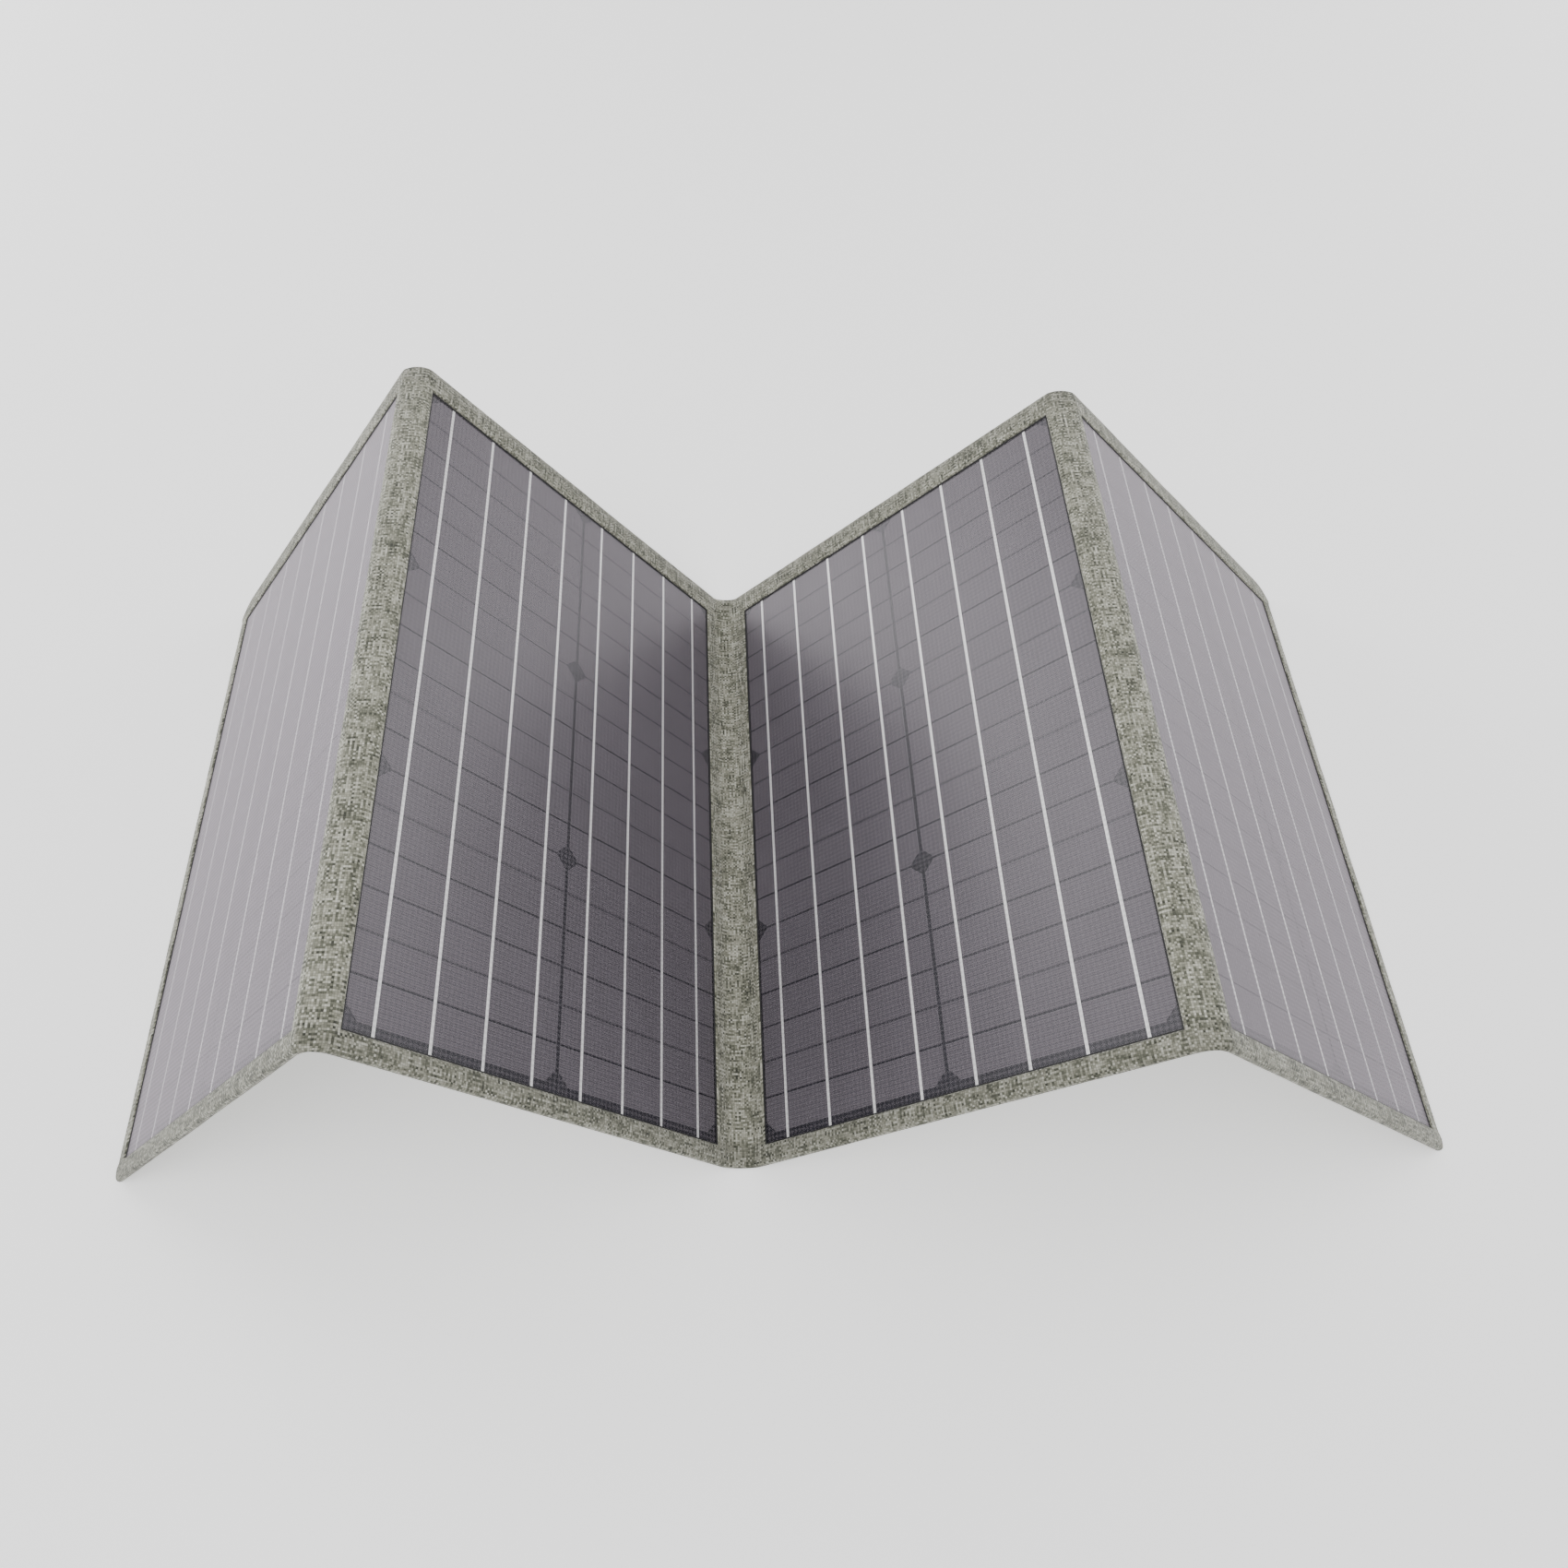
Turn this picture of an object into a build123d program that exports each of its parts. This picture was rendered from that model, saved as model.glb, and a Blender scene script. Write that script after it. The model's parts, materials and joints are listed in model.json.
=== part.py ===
from build123d import *
import os
from math import cos, radians, sin

os.makedirs("parts", exist_ok=True)

# A folding solar panel of four fabric-covered boards, standing as a zigzag on the ground.
# Frame: X runs across the four boards, Y along the folds (-Y is the near end), Z is up.
# The origin is on the ground, under the middle of the whole object.
# Each board has its own frame: u across it, v along the folds and w out of its lit face,
# with w = 0 on the plane of the fold axes.

# Driving dimensions, in millimetres and degrees
BOARD_WIDTH = 339.5  # between a board's two fold axes, or a fold axis and the free edge
BOARD_LENGTH = 541.0
RIDGE_BAND = 13.5  # fabric between the two fold axes of a ridge
VALLEY_BAND = 20.5
OUTER_LEFT_SLOPE = 51.02
INNER_LEFT_SLOPE = 50.8
INNER_RIGHT_SLOPE = 43.62
OUTER_RIGHT_SLOPE = 43.47

# Layers of a board, from the ground side up
FABRIC = 0.6
REAR_W = -2.6
STIFFENER_W = REAR_W + FABRIC
BACKSHEET_W = -0.2
CELL_W = 0.8
BUSBAR_W = 1.0
FILM_W = 1.25
FILM_TOP_W = 1.45
FRONT_W = 3.2  # the fabric frame is padded, so it stands proud of the film
BUSBAR_THICKNESS = 0.15

# Seams and folds
SEAM = 4.0  # where the front and rear fabric are sewn to each other
EDGE_GAP = 0.95  # from a fold axis to the sewn edge of the board
BAND_GAP = 0.05  # from a fold axis to the edge of the fold's fabric
FAR_CORNER_RADIUS = 20.0
NEAR_CORNER_RADIUS = 5.0

# Solar cells: two columns of three wafers, each wafer cut into six strips
WAFER = 156.75
STRIPS_PER_WAFER = 6
WAFERS_PER_COLUMN = 3
COLUMN_GAP = 3.2
CELLS_NEAR = -249.0
CELLS_FAR = 248.0
STRIP_GAP = 1.5
WAFER_CORNER = 8.5
BUSBARS_PER_WAFER = 4
BUSBAR_WIDTH = 2.2
BUSBAR_NEAR = -260.0
BUSBAR_FAR = 249.75

# Window of the fabric frame, and how far the laminate reaches under the fabric
WINDOW_SIDE = 2.5  # from the cells to the window's edge, across the board
RIDGE_MARGIN = 6.0  # from a ridge's fold axis to the window's edge
WINDOW_NEAR = -256.9
WINDOW_FAR = 250.0
LAMINATE_OVERLAP = 4.0
TOUCH = 0.01  # edges this close to a place are taken to be at it
CUT_PAST = 1.0  # how far a cutting shape runs past the face that it opens

# Wiring inside the boards and through the folds
JUNCTION_V = 198.0
JUNCTION_LENGTH = 46.0
JUNCTION_WIDTH = 18.0
LEAD_WIDTH = 12.0
LEAD_LOW_W = -1.9
LEAD_HIGH_W = -1.1
FOLD_LEAD = 0.3

# Output box on the back of the outer right board
BOX_U = 245.0
BOX_LENGTH = 84.0
BOX_WIDTH = 56.0
BOX_HEIGHT = 18.0
BOX_WALL = 2.0
BOX_CORNER = 5.0
PLATE = 2.0
POST_RADIUS = 3.6
POST_INSET = 6.5
SCREW_RADIUS = 1.4
SCREW_CLEAR = 0.1
HEAD_RADIUS = 2.7
HEAD_HEIGHT = 1.8
CIRCUIT_LENGTH = 56.0
CIRCUIT_WIDTH = 34.0
CIRCUIT = 1.6
PEG_HEIGHT = 2.5
PEG_RADIUS = 1.8
DIODE = (9.0, 6.0, 2.4)
FEED_HOLE = (20.0, 8.0)
GLAND_RADIUS = 5.0
GLAND_BORE = 2.7
GLAND_CAP_RADIUS = 6.8
GLAND_CAP_LENGTH = 13.0
GLAND_SEAL = 1.0
LOCKNUT_RADIUS = 6.4
LOCKNUT = 3.0
THREAD_SHORT = 2.0  # from the gland cap's mouth back to the end of its thread
BOX_ROUND = 1.5  # edge radius of the cover and the gland cap

HALF_LENGTH = BOARD_LENGTH / 2
MID = BOARD_WIDTH / 2
CELL_BLOCK = 2 * WAFER + COLUMN_GAP
WINDOW_WIDTH = CELL_BLOCK + 2 * WINDOW_SIDE
GLAND_W = REAR_W - (PLATE + BOX_HEIGHT - BOX_WALL) / 2


def slab(low, high):
    """A box between two opposite corners."""
    size = [b - a for a, b in zip(low, high)]
    middle = [(a + b) / 2 for a, b in zip(low, high)]
    return Pos(*middle) * Box(*size)


def along(slope):
    """Unit step across a board that climbs by slope towards +X."""
    return Vector(cos(radians(slope)), 0, sin(radians(slope)))


def board_plane(start, slope):
    """Board frame: origin on its left fold axis, u up the slope, v along +Y."""
    return Plane(origin=start, x_dir=along(slope), z_dir=along(slope + 90))


def upright_rod(u, v, low, high, radius):
    """A rod along w."""
    return Pos(u, v, (low + high) / 2) * Cylinder(radius, high - low)


def rod_along_v(u, w, low, high, radius):
    """A rod along v."""
    return Pos(u, (low + high) / 2, w) * Rot(90, 0, 0) * Cylinder(radius, high - low)


def folded_frames():
    """The planes of the four boards and three fold bands, with the origin moved to the middle."""
    slopes = [OUTER_LEFT_SLOPE, -INNER_LEFT_SLOPE, INNER_RIGHT_SLOPE, -OUTER_RIGHT_SLOPE]
    widths = [RIDGE_BAND, VALLEY_BAND, RIDGE_BAND]
    point = Vector(0, 0, 0)
    boards, bands = [], []
    for number, slope in enumerate(slopes):
        boards.append((point, slope))
        point = point + along(slope) * BOARD_WIDTH
        if number < len(widths):
            lean = (slope + slopes[number + 1]) / 2
            bands.append((point, lean))
            point = point + along(lean) * widths[number]
    left = along(OUTER_LEFT_SLOPE + 90) * FRONT_W
    right = point + along(-OUTER_RIGHT_SLOPE + 90) * FRONT_W
    ground = lowest_corner(boards)
    shift = Vector(-(left.X + right.X) / 2, 0, -ground)
    return [[board_plane(p + shift, s) for p, s in group] for group in (boards, bands)]


def sewn_edges(number):
    """Where a board's cloth starts and ends across it: near its fold axes, or at its free edge."""
    left = 0 if number == 1 else EDGE_GAP
    right = BOARD_WIDTH - (0 if number == 4 else EDGE_GAP)
    return left, right


def lowest_corner(boards):
    """Height of the lowest back corner of any board."""
    heights = []
    for number, (point, slope) in enumerate(boards, start=1):
        for u in sewn_edges(number):
            corner = point + along(slope) * u + along(slope + 90) * REAR_W
            heights.append(corner.Z)
    return min(heights)


def corner_edges(shape, u, v):
    """The upright edges at one corner of a shape's plan."""
    upright = shape.edges().filter_by(Axis.Z)
    return [e for e in upright if abs(e.center().X - u) < TOUCH and abs(e.center().Y - v) < TOUCH]


def outline(number, inset, low, high):
    """A board's plan shape between two levels, drawn in by inset from its sewn edge."""
    left, right = (edge + side * inset for edge, side in zip(sewn_edges(number), (1, -1)))
    half = HALF_LENGTH - inset
    shape = slab((left, -half, low), (right, half, high))
    free_u = {1: left, 4: right}.get(number)
    if free_u is None:
        return shape
    shape = fillet(corner_edges(shape, free_u, half), FAR_CORNER_RADIUS - inset)
    return fillet(corner_edges(shape, free_u, -half), NEAR_CORNER_RADIUS - inset)


def window_left(number):
    """Where a board's window starts: boards 1 and 3 have their ridge on the right, 2 and 4 on the left."""
    return BOARD_WIDTH - RIDGE_MARGIN - WINDOW_WIDTH if number in (1, 3) else RIDGE_MARGIN


def laminate(number, low, high):
    """The laminate's plan shape between two levels."""
    left = window_left(number)
    return slab(
        (left - LAMINATE_OVERLAP, WINDOW_NEAR - LAMINATE_OVERLAP, low),
        (left + WINDOW_WIDTH + LAMINATE_OVERLAP, WINDOW_FAR + LAMINATE_OVERLAP, high),
    )


def column_left(number, column):
    """Where a column of cells starts across a board."""
    return window_left(number) + WINDOW_SIDE + column * (WAFER + COLUMN_GAP)


def cell_strip(left, near, row):
    """One strip of a wafer: the first and last of a wafer have its cut corners."""
    pitch = (CELLS_FAR - CELLS_NEAR) / (STRIPS_PER_WAFER * WAFERS_PER_COLUMN)
    far = near + pitch - STRIP_GAP
    right = left + WAFER
    cut = WAFER_CORNER
    points = [(left, near), (right, near), (right, far), (left, far)]
    if row % STRIPS_PER_WAFER == 0:
        points = [(left + cut, near), (right - cut, near), (right, near + cut)]
        points += [(right, far), (left, far), (left, near + cut)]
    if row % STRIPS_PER_WAFER == STRIPS_PER_WAFER - 1:
        points = [(left, near), (right, near), (right, far - cut)]
        points += [(right - cut, far), (left + cut, far), (left, far - cut)]
    face = make_face(Polyline(*points, close=True))
    return Pos(0, 0, CELL_W) * extrude(face, BUSBAR_W - CELL_W)


def cell_strips(number):
    """All the strips of a board."""
    rows = STRIPS_PER_WAFER * WAFERS_PER_COLUMN
    pitch = (CELLS_FAR - CELLS_NEAR) / rows
    strips = []
    for column in range(2):
        left = column_left(number, column)
        for row in range(rows):
            strips.append(cell_strip(left, CELLS_NEAR + STRIP_GAP / 2 + row * pitch, row))
    return strips


def busbars(number):
    """The ribbons on the cells, which run the length of the board."""
    pitch = WAFER / BUSBARS_PER_WAFER
    ribbons = []
    for column in range(2):
        left = column_left(number, column)
        for place in range(BUSBARS_PER_WAFER):
            u = left + (place + 0.5) * pitch
            low = (u - BUSBAR_WIDTH / 2, BUSBAR_NEAR, BUSBAR_W)
            high = (u + BUSBAR_WIDTH / 2, BUSBAR_FAR, BUSBAR_W + BUSBAR_THICKNESS)
            ribbons.append(slab(low, high))
    return ribbons


def junction_u(number):
    """The last board's junction is over the output box's feed hole, the others' are central."""
    return BOX_U if number == 4 else MID


def junction(number, low=STIFFENER_W, high=BACKSHEET_W):
    """The potted block where the cells' ribbons meet the leads."""
    u = junction_u(number)
    return slab(
        (u - JUNCTION_LENGTH / 2, JUNCTION_V - JUNCTION_WIDTH / 2, low),
        (u + JUNCTION_LENGTH / 2, JUNCTION_V + JUNCTION_WIDTH / 2, high),
    )


def leads(number):
    """Flat leads from the junction to the folds on either side of it."""
    u = junction_u(number)
    near, far = JUNCTION_V - LEAD_WIDTH / 2, JUNCTION_V + LEAD_WIDTH / 2
    spans = []
    if number > 1:
        spans.append((EDGE_GAP, u - JUNCTION_LENGTH / 2))
    if number < 4:
        spans.append((u + JUNCTION_LENGTH / 2, BOARD_WIDTH - EDGE_GAP))
    return [slab((a, near, LEAD_LOW_W), (b, far, LEAD_HIGH_W)) for a, b in spans]


def feed_hole():
    """Where the output wires leave the last board's junction for the output box."""
    length, width = FEED_HOLE
    return slab(
        (BOX_U - length / 2, JUNCTION_V - width / 2, REAR_W - PLATE),
        (BOX_U + length / 2, JUNCTION_V + width / 2, STIFFENER_W),
    )


def front_fabric(number):
    """The fabric frame on the lit face, down to the seam round the stiffener."""
    left = window_left(number)
    window = slab((left, WINDOW_NEAR, FILM_W), (left + WINDOW_WIDTH, WINDOW_FAR, FRONT_W + CUT_PAST))
    frame = outline(number, 0, STIFFENER_W, FRONT_W) - outline(number, SEAM, STIFFENER_W, BACKSHEET_W)
    frame = frame - laminate(number, BACKSHEET_W, FILM_TOP_W) - window
    return frame - leads(number)


def rear_fabric(number):
    """The cloth on the back."""
    cloth = outline(number, 0, REAR_W, STIFFENER_W)
    return cloth - feed_hole() if number == 4 else cloth


def stiffener(number):
    """The board inside, cut out for the junction and grooved for the leads."""
    return outline(number, SEAM, STIFFENER_W, BACKSHEET_W) - junction(number) - leads(number)


def board_parts(number):
    """Every piece of one board, by the end of its node's name."""
    strips, ribbons = cell_strips(number), busbars(number)
    return {
        "front_fabric": front_fabric(number),
        "cover_film": laminate(number, FILM_W, FILM_TOP_W),
        "encapsulant": laminate(number, CELL_W, FILM_W) - strips - ribbons,
        "cell_strips": strips,
        "busbars": ribbons,
        "backsheet": laminate(number, BACKSHEET_W, CELL_W),
        "stiffener": stiffener(number),
        "junction": junction(number),
        "leads": leads(number),
        "rear_fabric": rear_fabric(number),
    }


def fold_parts(width):
    """A fold's two layers of fabric and the flat lead between them."""
    left, right = BAND_GAP, width - BAND_GAP
    near, far = JUNCTION_V - LEAD_WIDTH / 2, JUNCTION_V + LEAD_WIDTH / 2
    lead = slab((left, near, -FOLD_LEAD), (right, far, 0))
    return {
        "front_fabric": slab((left, -HALF_LENGTH, 0), (right, HALF_LENGTH, FABRIC)),
        "rear_fabric": slab((left, -HALF_LENGTH, -FABRIC), (right, HALF_LENGTH, 0)) - lead,
        "lead": lead,
    }


def box_corners(inset):
    """The four places in the output box that are inset from its sides."""
    half_u, half_v = BOX_LENGTH / 2 - inset, BOX_WIDTH / 2 - inset
    return [(BOX_U + a * half_u, JUNCTION_V + b * half_v) for a in (-1, 1) for b in (-1, 1)]


def rounded_block(length, width, low, high, radius):
    """A block in the middle of the output box with rounded upright edges."""
    block = Pos(BOX_U, JUNCTION_V, (low + high) / 2) * Box(length, width, high - low)
    return fillet(block.edges().filter_by(Axis.Z), radius)


def output_box_parts():
    """The output box: plate, cover, circuit board, diodes, screws and lead gland."""
    plate_w = REAR_W - PLATE
    outer_w = REAR_W - BOX_HEIGHT
    wall_v = JUNCTION_V + BOX_WIDTH / 2
    plate = rounded_block(BOX_LENGTH, BOX_WIDTH, plate_w, REAR_W, BOX_CORNER) - feed_hole()
    cover = rounded_block(BOX_LENGTH, BOX_WIDTH, outer_w, plate_w, BOX_CORNER)
    cover = fillet(cover.faces().sort_by(Axis.Z)[0].edges(), BOX_ROUND)
    cover = cover - rounded_block(
        BOX_LENGTH - 2 * BOX_WALL, BOX_WIDTH - 2 * BOX_WALL, outer_w + BOX_WALL, plate_w, BOX_CORNER - BOX_WALL
    )
    screws = []
    for u, v in box_corners(POST_INSET):
        cover = cover + upright_rod(u, v, outer_w + BOX_WALL / 2, plate_w, POST_RADIUS)
    for u, v in box_corners(POST_INSET):
        seat_w = outer_w + HEAD_HEIGHT + SCREW_CLEAR
        cover = cover - upright_rod(u, v, outer_w - CUT_PAST, seat_w, HEAD_RADIUS + SCREW_CLEAR)
        cover = cover - upright_rod(u, v, outer_w, plate_w, SCREW_RADIUS + SCREW_CLEAR)
        plate = plate - upright_rod(u, v, plate_w, REAR_W, SCREW_RADIUS + SCREW_CLEAR)
        head = upright_rod(u, v, seat_w - HEAD_HEIGHT, seat_w, HEAD_RADIUS)
        drive = upright_rod(u, v, seat_w - HEAD_HEIGHT, seat_w - HEAD_HEIGHT / 2, SCREW_RADIUS)
        shank = upright_rod(u, v, seat_w, REAR_W - SCREW_CLEAR, SCREW_RADIUS)
        screws.append(head + shank - drive)
    circuit_w = plate_w - PEG_HEIGHT
    for u, v in box_corners((BOX_WIDTH - CIRCUIT_WIDTH) / 2 + 2 * PEG_RADIUS):
        plate = plate + upright_rod(u, v, circuit_w, plate_w, PEG_RADIUS)
    circuit = Pos(BOX_U, JUNCTION_V, circuit_w - CIRCUIT / 2) * Box(CIRCUIT_LENGTH, CIRCUIT_WIDTH, CIRCUIT)
    diode_w = circuit_w - CIRCUIT - DIODE[2] / 2
    diodes = [Pos(BOX_U + side * DIODE[0], JUNCTION_V, diode_w) * Box(*DIODE) for side in (-1, 1)]
    cover = cover - rod_along_v(BOX_U, GLAND_W, wall_v - 2 * BOX_WALL, wall_v + CUT_PAST, GLAND_RADIUS)
    cap_v = wall_v + GLAND_SEAL
    inner_v = wall_v - BOX_WALL - LOCKNUT
    mouth_v = cap_v + GLAND_CAP_LENGTH
    tip_v = mouth_v - THREAD_SHORT
    bore = rod_along_v(BOX_U, GLAND_W, inner_v - CUT_PAST, mouth_v + CUT_PAST, GLAND_BORE)
    thread = rod_along_v(BOX_U, GLAND_W, inner_v, tip_v, GLAND_RADIUS)
    cap = rod_along_v(BOX_U, GLAND_W, cap_v, mouth_v, GLAND_CAP_RADIUS)
    cap = fillet(cap.edges().filter_by(GeomType.CIRCLE).sort_by(Axis.Y)[-1], BOX_ROUND)
    seal = rod_along_v(BOX_U, GLAND_W, wall_v, cap_v, GLAND_CAP_RADIUS)
    locknut = rod_along_v(BOX_U, GLAND_W, inner_v, wall_v - BOX_WALL, LOCKNUT_RADIUS)
    return {
        "output_box_plate": plate,
        "output_box_cover": cover,
        "output_box_circuit": circuit,
        "output_box_diodes": diodes,
        "output_box_screws": screws,
        "gland_body": thread - bore,
        "gland_cap": cap - thread - bore,
        "gland_seal": seal - thread,
        "gland_locknut": locknut - thread,
    }


def write(name, shape, plane):
    """Write one node's solids, moved from its board's frame to the object's."""
    shapes = shape if isinstance(shape, list) else [shape]
    solids = [plane.location * solid for one in shapes for solid in one.solids()]
    export_step(Compound(children=solids), f"parts/{name}.step")


board_planes, band_planes = folded_frames()
for index, plane in enumerate(board_planes, start=1):
    for end, shape in board_parts(index).items():
        write(f"panel_{index}_{end}", shape, plane)

band_widths = (RIDGE_BAND, VALLEY_BAND, RIDGE_BAND)
for name, plane, width in zip(("fold_12", "fold_23", "fold_34"), band_planes, band_widths):
    for end, shape in fold_parts(width).items():
        write(f"{name}_{end}", shape, plane)

for name, shape in output_box_parts().items():
    write(name, shape, board_planes[3])

# The fold axes and the gland's mouth, for whoever describes the joints and mounts
for name, plane, width in zip(("fold_12", "fold_23", "fold_34"), band_planes, band_widths):
    start = plane.origin
    end = plane.from_local_coords(Vector(width, 0, 0))
    print(name, "axes at", [round(c, 3) for c in (start.X, start.Z, end.X, end.Z)])
mouth_v = JUNCTION_V + BOX_WIDTH / 2 + GLAND_SEAL + GLAND_CAP_LENGTH
mouth = board_planes[3].from_local_coords(Vector(BOX_U, mouth_v, GLAND_W))
print("gland mouth", [round(c, 3) for c in mouth])
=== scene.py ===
import json
import math

import bmesh
import bpy
from mathutils import Matrix, Vector, noise

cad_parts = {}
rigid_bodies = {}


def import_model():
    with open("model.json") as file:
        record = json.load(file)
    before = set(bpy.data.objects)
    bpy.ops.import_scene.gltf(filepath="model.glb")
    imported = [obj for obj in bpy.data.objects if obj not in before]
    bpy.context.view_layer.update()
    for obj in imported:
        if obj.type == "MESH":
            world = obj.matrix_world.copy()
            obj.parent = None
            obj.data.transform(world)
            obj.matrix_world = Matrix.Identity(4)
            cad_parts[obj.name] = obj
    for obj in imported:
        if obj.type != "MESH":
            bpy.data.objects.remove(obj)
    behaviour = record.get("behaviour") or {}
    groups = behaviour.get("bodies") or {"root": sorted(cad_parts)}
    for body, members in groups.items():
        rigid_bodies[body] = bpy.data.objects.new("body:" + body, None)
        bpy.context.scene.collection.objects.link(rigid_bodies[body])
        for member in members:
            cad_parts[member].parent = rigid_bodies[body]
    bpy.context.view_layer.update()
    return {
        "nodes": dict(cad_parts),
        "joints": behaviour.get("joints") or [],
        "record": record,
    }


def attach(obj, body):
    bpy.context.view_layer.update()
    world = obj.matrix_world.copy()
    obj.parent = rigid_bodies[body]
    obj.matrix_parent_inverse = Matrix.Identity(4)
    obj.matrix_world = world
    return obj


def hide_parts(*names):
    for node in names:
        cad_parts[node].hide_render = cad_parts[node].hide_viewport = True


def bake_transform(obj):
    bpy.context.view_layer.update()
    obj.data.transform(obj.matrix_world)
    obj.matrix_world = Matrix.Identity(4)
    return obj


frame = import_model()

# Camera: where it stands, what it looks along, and the framing of the square picture
CAMERA_AT = (-0.04787, -0.48717, 0.85945)
CAMERA_LOOKS = (0.01418, 0.48446, -0.8747)
CAMERA_RIGHT = (0.9997, -0.02441, 0.00269)
LENS = 26.88
SHIFT = (0.0347, 0.0481)

# Light: name, place, aim, size across and power of each lamp
WORLD_LIGHT = 0.95
LAMPS = (
    ("key", (-0.9, -0.9, 2.2), (0, 0, 0), 1.6, 20),
    ("fill", (1.6, 0.4, 1.8), (0, 0, 0.1), 1.6, 9),
    ("window_left", (-2.2, 1.5, 0.75), (0, 0, 0.1), 1.6, 40),
    ("window_right", (2.2, 1.4, 0.55), (0, 0, 0.1), 1.4, 18),
)
FLOOR_REACH = 12
FLOOR_SHADE = 0.93
FLOOR_GLOW = 0.6

# Board and cloth sizes, in metres
BOARDS = (1, 2, 3, 4)
LAMINATE_UNDER_CLOTH = 0.004
EDGE_GAP = 0.00095  # from a fold axis to the sewn edge of a board's cloth
SEAM_BACK = 0.0045  # from a fold axis back to where the fold's cloth begins
CORNER_FAR = 0.020
CORNER_NEAR = 0.005
LIP_TURN = ((0.00035, 0.10), (0.00080, 0.42), (0.00095, 1.0))  # inward, and share of the way to the film
SHADOW_BEAD = (  # section of the dark bead that is painted shadow along the window's edge: inward from the window's edge, and height over the film
    (0.0006, 0.0),
    (0.0007, 0.0005),
    (0.0012, 0.0007),
    (0.0018, 0.0005),
    (0.0021, 0.0),
    (0.0012, -0.0001),
)
SHADOW_BEAD_STEPS = 12
LIP_SINK = 0.00005  # how far the lip's edge is let into the film
LIP_REACH = 0.0012  # more than the lip's inward turn
HEM_CROWN = 0.0006  # how far the padded hem swells
RIDGE_LEVELS = (0.0023, 0.0007)  # of a ridge's front and back cloth, from the plane of its axes
VALLEY_LEVELS = (0.0014, -0.0007)
FRONT_HANDLE = 0.42  # how long the front cloth keeps its direction at either end of a fold
BACK_HANDLE = 0.12
WAVE_HEIGHT = 0.0003
WAVE_SIZE = 0.045
ROLL_STEPS = 6
HEM_STEPS = 6
FREE_EDGE_RINGS = 4  # rings that a margin beside a free edge has over one beside a fold
FREE_EDGE_START = 0.35  # how far into its first step a free edge's turn begins
ACROSS_STEPS = 44
ALONG_STEPS = 60
FOLD_STEPS = 10
SAME_PLACE = 1e-6  # places closer than this are the same
NO_LENGTH = 1e-7  # stretches shorter than this are left out
ON_WINDOW = 1e-4  # how far outside the window's edge a point still counts as on it

# Woven cloth
THREAD = 0.0015
SLUB_DRIFT = 3.71  # how far apart neighbouring threads lie in the noise that shades them
SLUB_STRETCH = 0.11  # how slowly a thread's shade changes along it
WARP_SEED = 2.3
WEFT_SEED = 9.1
PATCHES = 0.06  # how much the shade drifts over the cloth
CLOTH_SHADES = (
    (0.33, (0.048, 0.051, 0.037)),
    (0.44, (0.150, 0.154, 0.114)),
    (0.52, (0.328, 0.325, 0.257)),
    (0.65, (0.608, 0.603, 0.518)),
)
THREAD_GAP_SHADE = 0.62  # painted shade in the gaps between threads: how light the gaps are
THREAD_ROUND = 0.42  # how much lighter the middle of a thread is than its painted gap shade
THREAD_HEIGHT = 0.00025
HEM_STARTS = 0.250  # where the painted shade of the hems sets in, from the middle of the board along the folds
HEM_BLEND = 0.006
PAINTED_HEM_SHADE = 0.80  # painted shade: how light a hem is against the open cloth

# Cells
FINGER_HALF_PITCH = 0.0008  # half the distance between printed fingers
FINGER_HALF_WIDTH = 0.00007
FINGER_COLOUR = (0.42, 0.41, 0.43)
FINGER_SHOWS = 0.45
CELL_SHADES = ((0.3, (0.088, 0.078, 0.092)), (0.7, (0.108, 0.096, 0.113)))
CELL_RELIEF = 0.00002

# Film
DIMPLE_PITCH = 0.0072  # twice the distance from one row of dimples to the next
DIMPLE_RELIEF = 0.00005
DIMPLE_HAZE = (0.28, -0.068)  # haze that the dimples add, times their height and on its own
HAZE_COLOUR = (0.31, 0.279, 0.313, 1)
HAZE_BEND = 3.5  # how late towards a slant the haze comes up
HAZE_AT_SLANT = 1.2
GLOSS_COLOUR = (0.97, 0.93, 0.97, 1)
GLOSS_ROUGHNESS = 0.34
GLOSS_SHARE = (0.19, 0.014)  # of the Fresnel reflection, and on its own
FILM_IOR = 1.5
FILM_CUTS = 24
FILM_WAVE_HEIGHT = 0.00005
FILM_WAVE_SIZE = 0.03

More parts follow.
